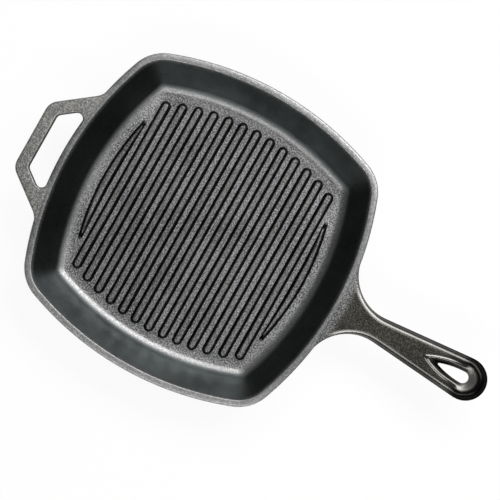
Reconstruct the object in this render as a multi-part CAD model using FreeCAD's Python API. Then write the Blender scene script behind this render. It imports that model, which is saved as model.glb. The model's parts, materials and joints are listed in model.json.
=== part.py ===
import FreeCAD, Part
import math
import os

from FreeCAD import Vector

# Square cast-iron grill pan, in millimetres and degrees.
# The origin is the middle of the base, +X runs along the main handle, the ribs run along Y, +Z is up.

# Pan
pan_width = 266.0              # across the rim's outer edge, side to side
pan_height = 47.0              # rim top above the base
side_bow_radius = 268.0        # bow of each side, along the rim's outer edge
floor_corner_radius = 5.0      # corners of the flat floor, which grow with the flare towards the rim
floor_thickness = 4.2
wall_thickness = 4.0
wall_lean = 22.0               # outward lean of the wall from upright
inner_fillet = 11.5            # floor to wall, inside
outer_fillet = 10.0            # base to wall, outside

# Rim
rim_width = 5.6
rim_depth = 6.0
rim_undercut = 3.0             # rise of the sloped underside of the lip
rim_outer_round = 1.6
rim_inner_round = 0.8

# Ribs
rib_count = 15
rib_height = 4.2
rib_base_width = 8.2
rib_top_width = 4.4
rib_edge_round = 1.0
rib_side_gap = 4.2             # from the outermost ribs to the edge of the flat floor
rib_end_gap = 3.4              # from the middle rib's ends to the edge of the flat floor
rib_end_radius = 204.0         # arc that the rib ends lie on
end_rib_length = 114.0         # the two crescent ribs
end_rib_tip_width = 3.0
end_rib_crest_setback = 10.0   # from a crescent's tip at the floor to its tip at the top
end_rib_crest_width = 0.9      # tip of a crescent at the top

# Main handle
handle_reach = 138.5           # from the rim's outer edge to the end of the handle
handle_end_width = 36.8
handle_neck_width = 21.8
handle_neck_reach = 35.0       # from the rim's outer edge to the neck
handle_flare_radius = 39.0     # blends between the neck and the rim's lip, seen from above
handle_flare_bite = 0.8        # how far those blends run in under the rim's outer edge
handle_root_radius = 20.0      # blends between the neck and the wall, below the lip
handle_thickness = 8.5
handle_shelf = 6.0             # flat strip beside the rim, before the top dips
handle_crest_radius = 180.0    # bend where the top leaves the shelf
handle_dip_angle = 4.5         # slope at which the top leaves the shelf
handle_sweep_radius = 455.0    # upward sweep of the rest of the handle
handle_gusset_radius = 14.0    # underside blend down to the wall
handle_gusset_turn = 50.0
handle_edge_round = 4.0
fillet_share = 0.7             # most of a wall's height that the lower edge round may take
handle_border_width = 5.2      # raised border round the dished top
handle_dish_depth = 0.9

# Hanging hole, a teardrop with its tip towards the pan
hole_radius = 4.85
hole_tip_reach = 23.0          # from the middle of the round end to the tip
hole_end_gap = 15.9            # from the hole to the end of the handle
collar_radius = 10.4           # foot of the raised collar round the hole
collar_tip_reach = 36.2
collar_crest_inset = 2.0       # how much the collar narrows over twice its height
collar_height = 2.0
funnel_depth = 3.4
funnel_margin = 2.6            # how much wider than the hole the funnel starts

# Helper handle
helper_reach = 29.6            # from the rim's outer edge to the outer edge of the loop
helper_bar_width = 11.3
helper_arm_width = 11.5
helper_half_span = 30.6        # middle to the corner of the outer edge, before it is rounded
helper_arm_angle = 37.2        # spread of the arms from the handle's axis
helper_outer_round = 13.0
helper_hole_round = 5.0
helper_flare_round = 15.0      # blends between the arms and the rim's lip
helper_flare_angle = 15.0      # angle at which those blends run in under the rim
helper_flare_run = 15.0        # length of those blends beyond the arms
helper_edge_round = 2.2

# Both handles lie this far under the rim's top
handle_step = 0.25

# Room for cutting tools past the faces that they cut, and how close counts as the same place
tool_margin = 8.0
tiny = 0.01


def rad(angle):
    return math.radians(angle)


def is_arc(step):
    # A step is a point, for a line to it, or two points, for an arc through the first to the second
    return isinstance(step[0], tuple)


def step_ends(steps):
    return [step[1] if is_arc(step) else step for step in steps]


def outline(steps, place):
    # Closed wire through the steps, with place turning their points into points in space
    ends = step_ends(steps)
    edges = []
    for i, step in enumerate(steps):
        start = place(*ends[i - 1])
        end = place(*ends[i])
        if is_arc(step):
            edges.append(Part.Arc(start, place(*step[0]), end).toShape())
        elif start.distanceToPoint(end) > tiny:
            edges.append(Part.makeLine(start, end))
    return Part.Wire(edges)


def prism(steps, low, high):
    # Upright solid over a plan outline
    wire = outline(steps, lambda x, y: Vector(x, y, low))
    return Part.Face(wire).extrude(Vector(0, 0, high - low))


def rounded(corners):
    # Steps of a closed outline whose corners (x, y, radius) are rounded by tangent arcs
    steps = []
    count = len(corners)
    for i, (x, y, radius) in enumerate(corners):
        point = Vector(x, y, 0)
        if radius == 0:
            steps.append((x, y))
            continue
        back = Vector(*corners[i - 1][:2], 0) - point
        ahead = Vector(*corners[(i + 1) % count][:2], 0) - point
        back.normalize()
        ahead.normalize()
        half = back.getAngle(ahead) / 2
        first = point + back * (radius / math.tan(half))
        last = point + ahead * (radius / math.tan(half))
        inward = (back + ahead).normalize()
        middle = point + inward * (radius / math.sin(half) - radius)
        steps.append((first.x, first.y))
        steps.append(((middle.x, middle.y), (last.x, last.y)))
    return steps


def polar(centre, radius, angle):
    return (centre[0] + radius * math.cos(angle), centre[1] + radius * math.sin(angle))


# Section of the wall: distances outward from the edge of the flat floor, and heights
lean = rad(wall_lean)
fillet_end = (inner_fillet * math.cos(lean), floor_thickness + inner_fillet * (1 - math.sin(lean)))
fillet_middle = polar((0, floor_thickness + inner_fillet), inner_fillet, -(math.pi / 2 + lean) / 2)


def inside(height):
    return fillet_end[0] + (height - fillet_end[1]) * math.tan(lean)


def outside(height):
    return inside(height) + wall_thickness / math.cos(lean)


rim_foot = pan_height - rim_depth
rim_inner = inside(pan_height)
rim_outer = rim_inner + rim_width
base_end_height = outer_fillet * (1 - math.sin(lean))
base_end = (outside(base_end_height), base_end_height)
base_edge = base_end[0] - outer_fillet * math.cos(lean)
base_middle = polar((base_edge, outer_fillet), outer_fillet, -(math.pi / 2 + lean) / 2)
outer_round_centre = (rim_outer - rim_outer_round, pan_height - rim_outer_round)
outer_round_middle = polar(outer_round_centre, rim_outer_round, rad(45))
outer_wall = [(base_edge, 0), (base_middle, base_end), (outside(rim_foot), rim_foot)]
outer_rim = [
    (rim_outer, rim_foot + rim_undercut),
    (rim_outer, pan_height - rim_outer_round),
    (outer_round_middle, (outer_round_centre[0], pan_height)),
]

# Bowed square: four side arcs and four corner arcs, given along the edge of the flat floor
rim_half = pan_width / 2
floor_half = rim_half - rim_outer
bow_centre = side_bow_radius - rim_half
floor_bow_radius = side_bow_radius - rim_outer
corner_gap = floor_bow_radius - floor_corner_radius
corner_centre = (math.sqrt(2 * corner_gap ** 2 - bow_centre ** 2) - bow_centre) / 2
side_half_turn = math.atan2(corner_centre, corner_centre + bow_centre)


def bow_arcs():
    # Centre, radius, start angle and turn of each arc, in order round the pan
    arcs = []
    for quarter in range(4):
        turned = FreeCAD.Rotation(Vector(0, 0, 1), 90 * quarter)
        facing = rad(90 * quarter)
        side = turned.multVec(Vector(-bow_centre, 0, 0))
        corner = turned.multVec(Vector(corner_centre, corner_centre, 0))
        arcs.append((side, floor_bow_radius, facing - side_half_turn, 2 * side_half_turn))
        arcs.append((corner, floor_corner_radius, facing + side_half_turn, math.pi / 2 - 2 * side_half_turn))
    return arcs


def swept_round(section):
    # Carry a section of the wall round the bowed square
    pieces = []
    up = Vector(0, 0, 1)
    for centre, radius, start, turn in bow_arcs():
        face = Part.Face(outline(section, lambda out, height: Vector(radius + out, 0, height)))
        piece = face.revolve(Vector(), up, math.degrees(turn))
        piece.rotate(Vector(), up, math.degrees(start))
        piece.translate(centre)
        pieces.append(piece)
    return pieces[0].multiFuse(pieces[1:]).removeSplitter().Solids[0]


def make_floor():
    steps = []
    for centre, radius, start, turn in bow_arcs():
        middle = polar(centre, radius, start + turn / 2)
        steps.append(polar(centre, radius, start))
        steps.append((middle, polar(centre, radius, start + turn)))
    return prism(steps, 0, floor_thickness)


def make_wall():
    section = [(0, 0)] + outer_wall
    section += [(inside(rim_foot), rim_foot), fillet_end, (fillet_middle, (0, floor_thickness))]
    return swept_round(section)


def make_rim():
    slope_end = pan_height - rim_inner_round
    section = [(outside(rim_foot), rim_foot)] + outer_rim
    section += [(rim_inner + rim_inner_round, pan_height), (inside(slope_end), slope_end)]
    section += [(inside(rim_foot), rim_foot)]
    return swept_round(section)


def make_blank():
    # The pan filled in, which cuts both handles to its outside
    return swept_round([(0, 0)] + outer_wall + outer_rim + [(0, pan_height)])


# Rib section
rib_draft = math.atan2((rib_base_width - rib_top_width) / 2, rib_height)
round_run = rib_edge_round / math.tan((math.pi / 2 + rib_draft) / 2)
rib_round_centre = (rib_top_width / 2 - round_run, rib_height - rib_edge_round)
rib_round_middle = polar(rib_round_centre, rib_edge_round, (math.pi / 2 + rib_draft) / 2)
rib_round_start = polar(rib_round_centre, rib_edge_round, rib_draft)
rib_half_section = [
    (rib_base_width / 2, 0),
    rib_round_start,
    (rib_round_middle, (rib_round_centre[0], rib_height)),
]
end_rib_place = floor_half - rib_side_gap - rib_base_width / 2
rib_pitch = 2 * end_rib_place / (rib_count - 1)


def make_straight_rib(place):
    # Tapered bar with half-round ends that touch the arc of rib ends
    arc_centre = floor_half - rib_end_gap - rib_end_radius
    reach = rib_end_radius - rib_base_width / 2
    half_length = arc_centre + math.sqrt(reach ** 2 - place ** 2)
    left = [((-rib_round_middle[0], rib_round_middle[1]), (-rib_round_start[0], rib_round_start[1]))]
    left += [(-rib_base_width / 2, 0)]
    section = rib_half_section + [(-rib_round_centre[0], rib_height)] + left
    bar = Part.Face(outline(section, lambda x, z: Vector(x, -half_length, z)))
    bar = bar.extrude(Vector(0, 2 * half_length, 0))
    half = Part.Face(outline([(0, 0)] + rib_half_section + [(0, rib_height)], lambda x, z: Vector(x, 0, z)))
    ends = []
    for side in (1, -1):
        end = half.revolve(Vector(), Vector(0, 0, 1), 180)
        if side < 0:
            end.rotate(Vector(), Vector(0, 0, 1), 180)
        end.translate(Vector(0, side * half_length, 0))
        ends.append(end)
    rib = bar.multiFuse(ends).removeSplitter().Solids[0]
    rib.translate(Vector(place, 0, floor_thickness))
    return rib


def crescent_outline(inset, half_length, tip_width):
    # Outer edge beside the bowed edge of the floor, inner edge nearly straight, small round tips
    outer_radius = floor_bow_radius - rib_side_gap - inset
    inner_middle = end_rib_place - rib_base_width / 2 + inset
    outer_tip = -bow_centre + math.sqrt(outer_radius ** 2 - half_length ** 2)
    inner_tip = outer_tip - tip_width
    tip_middle = (outer_tip + inner_tip) / 2
    tip = half_length + tip_width / 2
    return [
        (outer_tip, -half_length),
        ((outer_radius - bow_centre, 0), (outer_tip, half_length)),
        ((tip_middle, tip), (inner_tip, half_length)),
        ((inner_middle, 0), (inner_tip, -half_length)),
        ((tip_middle, -tip), (outer_tip, -half_length)),
    ]


def make_end_rib(side):
    half_length = (end_rib_length - end_rib_tip_width) / 2
    taper = (rib_base_width - rib_top_width) / 2
    levels = [
        (0, 0, half_length, end_rib_tip_width),
        (rib_height, taper, half_length - end_rib_crest_setback, end_rib_crest_width),
    ]
    wires = []
    for height, inset, half, tip_width in levels:
        steps = crescent_outline(inset, half, tip_width)
        wires.append(outline(steps, lambda x, y: Vector(x, y, floor_thickness + height)))
    rib = Part.makeLoft(wires, True, True)
    if side < 0:
        rib.rotate(Vector(), Vector(0, 0, 1), 180)
    return rib


def make_ribs():
    ribs = []
    last = (rib_count - 1) // 2
    for step in range(-last, last + 1):
        if abs(step) == last:
            ribs.append(make_end_rib(step))
        else:
            ribs.append(make_straight_rib(step * rib_pitch))
    return ribs


# Plan of the main handle
handle_end = rim_half + handle_reach
handle_top = pan_height - handle_step
end_radius = handle_end_width / 2
end_centre = handle_end - end_radius
neck_place = rim_half + handle_neck_reach
neck_half = handle_neck_width / 2
side_run = end_centre - neck_place
side_angle = math.asin(end_radius / math.hypot(side_run, neck_half)) - math.atan2(neck_half, side_run)


def flare_place():
    # Left edge of the lip's blends, placed where they touch the bowed rim
    slope = math.tan(side_angle)
    base = neck_half + handle_flare_radius / math.cos(side_angle) - slope * (bow_centre + neck_place)
    reach = side_bow_radius + handle_flare_radius - handle_flare_bite
    across = math.sqrt(reach ** 2 * (1 + slope ** 2) - base ** 2) - slope * base
    return across / (1 + slope ** 2) - bow_centre - handle_flare_radius


def handle_plan(inset, start, root_left, root_radius):
    # Outline of the handle from above, narrowed by inset and closed across the pan end at start
    root_x = root_left + root_radius
    root_rise = root_radius + math.sin(side_angle) * (root_x - neck_place)
    root_centre = (root_x, neck_half + root_rise / math.cos(side_angle))
    radius = root_radius + inset
    end = end_radius - inset
    square = side_angle + math.pi / 2
    meet = polar(root_centre, -radius, square)
    leave = polar(root_centre, radius, math.pi)
    bend = polar(root_centre, radius, (math.pi + square + math.pi) / 2)
    upper_end = polar((end_centre, 0), end, square)
    return [
        (start, -leave[1]),
        (leave[0], -leave[1]),
        ((bend[0], -bend[1]), (meet[0], -meet[1])),
        (upper_end[0], -upper_end[1]),
        ((end_centre + end, 0), upper_end),
        meet,
        (bend, leave),
        (start, leave[1]),
    ]


# Side view of the main handle
shelf_end = rim_half + handle_shelf
dip = rad(handle_dip_angle)
crest_centre = (shelf_end, handle_top - handle_crest_radius)
dip_point = polar(crest_centre, handle_crest_radius, math.pi / 2 - dip)
sweep_centre = polar(dip_point, handle_sweep_radius, math.pi / 2 - dip)


def sweep_angle(x):
    # Slope of the swept part of the top at a place along the handle
    return math.asin((x - sweep_centre[0]) / handle_sweep_radius)


def top_steps(depth, start, stop):
    # The top seen from the side, lowered by depth: the shelf, the dip and the sweep
    crest = handle_crest_radius - depth
    sweep = handle_sweep_radius + depth
    last = sweep_angle(stop)
    up = math.pi / 2
    return [
        (start, handle_top - depth),
        (shelf_end, handle_top - depth),
        (polar(crest_centre, crest, up - dip / 2), polar(crest_centre, crest, up - dip)),
        (polar(sweep_centre, sweep, (last - dip) / 2 - up), polar(sweep_centre, sweep, last - up)),
    ]


def backwards(steps):
    # The same run of steps, followed from its end to its start
    ends = step_ends(steps)
    back = [ends[-1]]
    for i in range(len(steps) - 1, 0, -1):
        back.append((steps[i][0], ends[i - 1]) if is_arc(steps[i]) else ends[i - 1])
    return back


def side_slab(steps):
    # Solid across the handle with the given side view
    face = Part.Face(outline(steps, lambda x, z: Vector(x, -rim_half, z)))
    return face.extrude(Vector(0, 2 * rim_half, 0))


def teardrop(radius, tip_reach):
    # Round end about the origin, straight sides that meet at a tip towards the pan
    touch = math.pi - math.acos(radius / tip_reach)
    upper = polar((0, 0), radius, touch)
    return [(-tip_reach, 0), (upper[0], -upper[1]), ((radius, 0), upper)]


def teardrop_loft(low, low_size, high, high_size):
    # Tapered teardrop, square to the top of the handle at the hole
    wires = []
    for height, size in ((low, low_size), (high, high_size)):
        wires.append(outline(teardrop(*size), lambda x, y: Vector(x, y, height)))
    loft = Part.makeLoft(wires, True, True)
    place = handle_end - hole_end_gap - hole_radius
    slope = sweep_angle(place)
    surface = sweep_centre[1] - handle_sweep_radius * math.cos(slope)
    loft.rotate(Vector(), Vector(0, 1, 0), -math.degrees(slope))
    loft.translate(Vector(place, 0, surface))
    return loft


def top_height(x):
    # Height of the handle's top at a place along it
    if x < shelf_end:
        return handle_top
    if x < dip_point[0]:
        return crest_centre[1] + math.sqrt(handle_crest_radius ** 2 - (x - crest_centre[0]) ** 2)
    return sweep_centre[1] - math.sqrt(handle_sweep_radius ** 2 - (x - sweep_centre[0]) ** 2)


def border_edges(body, depth):
    # Edges at a depth below the top that run along the sides and round the end
    found = []
    for edge in body.Edges:
        middle = edge.valueAt((edge.FirstParameter + edge.LastParameter) / 2)
        slope = sweep_angle(max(middle.x, dip_point[0]))
        below = (top_height(middle.x) - middle.z) * math.cos(slope)
        across = abs(middle.y) < neck_half / 2 and middle.x < handle_end - handle_edge_round
        if abs(below - depth) < handle_edge_round / 4 and not across and middle.x > rim_half:
            found.append(edge)
    return found


def make_main_handle(blank):
    start = floor_half + tool_margin
    stop = handle_end + tool_margin
    top = top_steps(0, start, stop)
    under = backwards(top_steps(handle_thickness, start, stop))[:-1]
    turn = rad(handle_gusset_turn)
    gusset_centre = (shelf_end, handle_top - handle_thickness - handle_gusset_radius)
    gusset_middle = polar(gusset_centre, handle_gusset_radius, math.pi / 2 + turn / 2)
    gusset_end = polar(gusset_centre, handle_gusset_radius, math.pi / 2 + turn)
    foot = (start, gusset_end[1] - (gusset_end[0] - start) * math.tan(turn))
    wall_run = floor_half + outside(foot[1]) - start
    wall_place = start + wall_run / (1 - math.tan(turn) * math.tan(lean))
    flare_left = flare_place()
    body = prism(handle_plan(0, start, wall_place, handle_root_radius), foot[1], stop)
    lip = prism(handle_plan(0, start, flare_left, handle_flare_radius), rim_foot, stop)
    body = body.fuse(lip).removeSplitter()
    body = body.common(side_slab(top + under + [(gusset_middle, gusset_end), foot]))
    body = body.removeSplitter().Solids[0]
    body = body.makeFillet(handle_edge_round, border_edges(body, 0))
    lower_round = min(handle_edge_round, (rim_foot - handle_top + handle_thickness) * fillet_share)
    body = body.makeFillet(lower_round, border_edges(body, handle_thickness))

    # Dished top inside the raised border, with the collar left standing round the hole
    dish = prism(handle_plan(handle_border_width, start, flare_left, handle_flare_radius), foot[1], stop)
    roof = [(stop, stop), (shelf_end, stop)]
    dish = dish.common(side_slab(top_steps(handle_dish_depth, shelf_end, stop)[1:] + roof))
    crest = (collar_radius - collar_crest_inset, collar_tip_reach - collar_crest_inset)
    dish = dish.cut(teardrop_loft(-collar_height, (collar_radius, collar_tip_reach), collar_height, crest))
    body = body.cut(dish)

    hole = (hole_radius, hole_tip_reach)
    growth = funnel_margin * (1 + tool_margin / funnel_depth)
    funnel = (hole_radius + growth, hole_tip_reach + growth)
    body = body.cut(teardrop_loft(-funnel_depth, hole, tool_margin, funnel))
    body = body.cut(teardrop_loft(-handle_thickness - tool_margin, hole, tool_margin, hole))
    return body.cut(blank).Solids[0]


# Plan of the helper handle
helper_bar = -(rim_half + helper_reach)
helper_hole_bar = helper_bar + helper_bar_width
arm_angle = rad(helper_arm_angle)
arm_run = (math.cos(arm_angle), math.sin(arm_angle))
arm_drop = (helper_arm_width - helper_bar_width * arm_run[1]) / arm_run[0]
helper_hole_span = helper_half_span - arm_drop


def rim_meeting(x, y):
    # Where an arm's edge from (x, y) meets the rim's outer edge
    back = (x - bow_centre) * arm_run[0] + y * arm_run[1]
    out = (x - bow_centre) ** 2 + y ** 2 - side_bow_radius ** 2
    run = -back - math.sqrt(back ** 2 - out)
    return (x + run * arm_run[0], y + run * arm_run[1])


def both_sides(corners):
    return rounded([(x, -y, radius) for x, y, radius in reversed(corners)] + corners)


def make_helper(blank):
    # A flat loop as deep as the rim, its arms flared into the rim's lip
    root = rim_meeting(helper_bar, helper_half_span)
    hole_root = rim_meeting(helper_hole_bar, helper_hole_span)
    steer = math.asin(root[1] / side_bow_radius) + rad(helper_flare_angle)
    tail = (root[0] + helper_flare_run * math.sin(steer), root[1] + helper_flare_run * math.cos(steer))
    outer = [(helper_bar, helper_half_span, helper_outer_round), (*root, helper_flare_round)]
    outer += [(*tail, 0), (tail[0] + tool_margin, tail[1], 0)]
    hole = [(helper_hole_bar, helper_hole_span, helper_hole_round), (*hole_root, helper_hole_round)]
    hole += [(rim_width - rim_half, 0, 0)]
    loop = prism(both_sides(outer), rim_foot, handle_top)
    loop = loop.cut(prism(both_sides(hole), rim_foot, handle_top))
    border = []
    for edge in loop.Edges:
        box = edge.BoundBox
        if box.ZLength < tiny and box.XMin < -rim_half:
            border.append(edge)
    return loop.makeFillet(helper_edge_round, border).cut(blank)


def main():
    os.makedirs("parts", exist_ok=True)
    blank = make_blank()
    parts = {
        "pan_floor": make_floor(),
        "pan_wall": make_wall(),
        "rim": make_rim(),
        "main_handle": make_main_handle(blank),
        "helper_handle": make_helper(blank),
    }
    for number, rib in enumerate(make_ribs(), 1):
        parts["rib_%02d" % number] = rib
    for name, shape in parts.items():
        box = shape.BoundBox
        print(name, shape.isValid(), len(shape.Solids), "%.0f mm3" % shape.Volume,
              "%.1f x %.1f x %.1f" % (box.XLength, box.YLength, box.ZLength))
        shape.exportStep("parts/%s.step" % name)


main()
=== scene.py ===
import json
import math

import bmesh
import bpy
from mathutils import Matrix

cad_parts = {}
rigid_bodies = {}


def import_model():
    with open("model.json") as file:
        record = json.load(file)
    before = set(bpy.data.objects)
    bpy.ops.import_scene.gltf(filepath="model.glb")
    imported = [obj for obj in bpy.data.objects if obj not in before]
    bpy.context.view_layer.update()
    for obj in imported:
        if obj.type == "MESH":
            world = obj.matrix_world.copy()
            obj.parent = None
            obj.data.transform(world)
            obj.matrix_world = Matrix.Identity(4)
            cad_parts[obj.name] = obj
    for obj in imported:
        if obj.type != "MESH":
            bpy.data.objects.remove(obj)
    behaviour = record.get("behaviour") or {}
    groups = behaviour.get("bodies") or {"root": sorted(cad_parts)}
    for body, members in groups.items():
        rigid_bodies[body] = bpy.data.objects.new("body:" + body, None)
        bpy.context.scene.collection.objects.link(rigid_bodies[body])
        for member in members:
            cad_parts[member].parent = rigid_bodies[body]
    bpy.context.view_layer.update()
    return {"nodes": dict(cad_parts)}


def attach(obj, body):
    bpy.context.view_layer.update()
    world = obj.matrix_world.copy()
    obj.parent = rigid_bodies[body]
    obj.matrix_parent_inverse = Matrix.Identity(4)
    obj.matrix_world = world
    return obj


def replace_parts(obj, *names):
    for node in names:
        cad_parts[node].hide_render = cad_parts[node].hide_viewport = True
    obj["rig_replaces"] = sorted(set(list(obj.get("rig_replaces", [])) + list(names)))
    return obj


# A square cast-iron grill pan, seasoned black, seen from straight above on a white table.
# Lengths in the dictionaries are millimetres, angles are degrees.

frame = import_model()
mm = 0.001
print("frame loaded with", len(frame["nodes"]), "solids")


# drawing in edit mode: a point, then lines and spins from it, then a closed loop

def startPiece(name):
    bpy.ops.object.select_all(action="DESELECT")
    bpy.ops.mesh.primitive_plane_add(size=mm)
    piece = bpy.context.object
    piece.name = name
    piece.data.name = name
    bpy.ops.object.mode_set(mode="EDIT")
    bpy.ops.mesh.select_all(action="SELECT")
    bpy.ops.mesh.delete(type="VERT")
    return piece


def drawFrom(x, y, z):
    bpy.ops.mesh.select_mode(type="VERT")
    bpy.ops.mesh.select_all(action="DESELECT")
    bpy.ops.mesh.primitive_plane_add(size=mm, location=(x * mm, y * mm, z * mm))
    bpy.ops.mesh.merge(type="CENTER")


def drawLine(x, y, steps):
    for step in range(steps):
        move = (x / steps * mm, y / steps * mm, 0)
        bpy.ops.mesh.extrude_region_move(TRANSFORM_OT_translate={"value": move})


def drawArc(x, y, turn, steps):
    bpy.ops.mesh.spin(steps=steps, angle=math.radians(turn), center=(x * mm, y * mm, 0), axis=(0, 0, -1))


def closeLoop(fill=False):
    bpy.ops.mesh.select_linked()
    bpy.ops.mesh.remove_doubles(threshold=0.02 * mm)
    if fill:
        bpy.ops.mesh.edge_face_add()


def editing():
    return bmesh.from_edit_mesh(bpy.context.object.data)


def pickFaces(wanted):
    bpy.ops.mesh.select_mode(type="FACE")
    bpy.ops.mesh.select_all(action="DESELECT")
    mesh = editing()
    for face in mesh.faces:
        face.select_set(wanted(face.calc_center_median() / mm, face.normal))
    bmesh.update_edit_mesh(bpy.context.object.data)


def pickOpenEdges(wanted):
    bpy.ops.mesh.select_mode(type="EDGE")
    bpy.ops.mesh.select_all(action="DESELECT")
    mesh = editing()
    for edge in mesh.edges:
        middle = (edge.verts[0].co + edge.verts[1].co) / 2 / mm
        edge.select_set(len(edge.link_faces) < 2 and wanted(middle))
    bmesh.update_edit_mesh(bpy.context.object.data)


def near(value, target, slack=0.03):
    return abs(value - target) < slack


def bridgeLevels(*levels):
    pickOpenEdges(lambda middle: any(near(middle.z, level) for level in levels))
    bpy.ops.mesh.bridge_edge_loops()


def thicken(height):
    # a drawn and filled outline becomes a closed block, its outside facing out
    bpy.ops.mesh.extrude_region_move(TRANSFORM_OT_translate={"value": (0, 0, height * mm)})
    bpy.ops.mesh.select_all(action="SELECT")
    bpy.ops.mesh.normals_make_consistent(inside=False)


def insetAlong(section, upward):
    # follow a section (distance in, height) on the picked face, one inset for each point
    facing = 1 if upward else -1
    for here, there in zip(section, section[1:]):
        inward = there[0] - here[0]
        rise = (there[1] - here[1]) * facing
        bpy.ops.mesh.inset(thickness=inward * mm, depth=rise * mm)


def roundOff(x, z, radius, start, stop, steps):
    points = []
    for step in range(steps + 1):
        angle = math.radians(start + (stop - start) * step / steps)
        points.append((x + radius * math.cos(angle), z + radius * math.sin(angle)))
    return points


def smoothStep(low, high, value):
    share = min(max((value - low) / (high - low), 0), 1)
    return share * share * (3 - 2 * share)


def finishPiece(piece, slot, *nodes):
    if bpy.context.mode != "OBJECT":
        bpy.ops.mesh.select_all(action="SELECT")
        bpy.ops.mesh.remove_doubles(threshold=0.004 * mm)
        bpy.ops.mesh.normals_make_consistent(inside=False)
        bpy.ops.object.mode_set(mode="OBJECT")
    bpy.ops.object.select_all(action="DESELECT")
    piece.select_set(True)
    bpy.context.view_layer.objects.active = piece
    bpy.ops.object.shade_smooth()
    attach(piece, "root")
    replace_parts(piece, *nodes)


def markPoints(piece, name, share):
    # a share from 0 to 1 at each point of the skin, which the finishes read
    marks = piece.data.attributes.new(name, "FLOAT", "POINT")
    for vertex in piece.data.vertices:
        marks.data[vertex.index].value = share(*(vertex.co / mm), vertex.normal)


# the bowl: floor, wall and rim of one casting

pan = {
    "half": 133.0,           # middle to the rim's outer edge
    "height": 47.0,
    "sideBow": 268.0,        # along the rim's outer edge
    "floorCorner": 5.0,
    "floor": 4.2,
    "floorEdge": 4.5,        # the floor is painted brighter in a strip this wide, as painted light
    "wall": 4.0,
    "lean": 22.0,
    "innerFillet": 11.5,
    "outerFillet": 10.0,
    "rimWidth": 5.6,
    "rimRound": 1.6,
    "lipRound": 0.9,
    "crown": 0.13,           # how much higher the middle of the rim is than its edges
    "crownTilt": 7.0,
    "bandFoot": 43.9,        # the rim's upright outer face ends here
    "bandRound": 1.0,
    "bandTurn": 51.0,        # and turns this far in under the lip
    "lipUnder": [(28.5, 41.75), (27.45, 41.05), (26.85, 40.4)],
    "wallTop": 39.4,         # below this the outside of the wall is straight
    "sideSteps": 48,
    "cornerSteps": 18,
}
wearAndPaintedLight = {
    # shares from 0 to 1
    "wallSand": 0.15,        # how sandy the walls are
    "rimWorn": 0.75,         # how far the grain is rubbed off the rim,
    "footWorn": 0.75,        # off the foot of the wall
    "wallWorn": 0.3,         # and off the wall above it
    "strip": 0.85,           # how bright the edge of the floor is painted, as painted light
    "besideHandlesLit": 0.3,    # share of the rubbing and painted light kept on the two sides with the handles, which are painted darker as shade
    "helperPaintedShade": 0.93,      # how dark the wall beside the helper is painted, as painted shade,
    "handlePaintedShade": 0.73,      # beside the main handle,
    "leftPaintedShade": 0.36,        # to the left of the main handle
    "outsideSoot": 0.96,
}
lean = math.radians(pan["lean"])
levelTop = pan["height"] - 0.02  # the handles end just below the rim's top
filletRun = pan["innerFillet"] * math.cos(lean)
filletTop = pan["floor"] + pan["innerFillet"] * (1 - math.sin(lean))


def innerWall(z):
    return filletRun + (z - filletTop) * math.tan(lean)


def outerWall(z):
    return innerWall(z) + pan["wall"] / math.cos(lean)


rimOut = innerWall(pan["height"]) + pan["rimWidth"]
rimBandTop = pan["height"] - pan["crown"] - pan["rimRound"] * math.cos(math.radians(pan["crownTilt"]))
floorHalf = pan["half"] - rimOut
bowCentre = pan["sideBow"] - pan["half"]
cornerGap = pan["sideBow"] - rimOut - pan["floorCorner"]
cornerPlace = (math.sqrt(2 * cornerGap ** 2 - bowCentre ** 2) - bowCentre) / 2
halfTurn = math.degrees(math.atan2(cornerPlace, cornerPlace + bowCentre))


def rimSection():
    # from the outer edge of the rim over its top, down the wall and round to the floor
    high = pan["height"] - pan["crown"]
    edge = pan["rimRound"]
    lip = pan["lipRound"]
    tilt = math.radians(pan["crownTilt"])
    section = roundOff(rimOut - edge, rimBandTop, edge, 0, 90 - pan["crownTilt"], 6)
    lipHigh = high - lip * math.cos(tilt)
    turnEnd = lipHigh + lip * math.sin(lean)
    lipCentre = innerWall(turnEnd) + lip * math.cos(lean)
    outside = section[-1][0]
    inside = lipCentre - lip * math.sin(tilt)
    for step in range(1, 8):
        share = step / 8
        rise = pan["crown"] * (1 - (2 * share - 1) ** 2)
        section.append((outside + (inside - outside) * share, high + rise))
    section += roundOff(lipCentre, lipHigh, lip, 90 + pan["crownTilt"], 180 - pan["lean"], 4)
    for step in range(1, 8):
        z = turnEnd + (filletTop - turnEnd) * step / 8
        section.append((innerWall(z), z))
    section += roundOff(0, pan["floor"] + pan["innerFillet"], pan["innerFillet"], -pan["lean"], -90, 16)
    section.append((-0.35 * pan["floorEdge"], pan["floor"]))
    section.append((-pan["floorEdge"], pan["floor"]))
    return [(rimOut - out, z) for out, z in section]


def underSection():
    # from the outer edge of the rim under its lip, down the outside and round to the base
    fillet = pan["outerFillet"]
    top = pan["wallTop"]
    turn = pan["bandRound"]
    section = roundOff(rimOut - turn, pan["bandFoot"], turn, 0, -pan["bandTurn"], 3)
    section += [*pan["lipUnder"], (outerWall(top), top)]
    turnEnd = fillet * (1 - math.sin(lean))
    for step in range(1, 7):
        z = top + (turnEnd - top) * step / 7
        section.append((outerWall(z), z))
    base = outerWall(turnEnd) - fillet * math.cos(lean)
    section += roundOff(base, fillet, fillet, -pan["lean"], -90, 10)
    section += [(base - 1.2, 0), (base - 2.4, 0)]
    return [(rimOut - out, z) for out, z in section]


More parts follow.
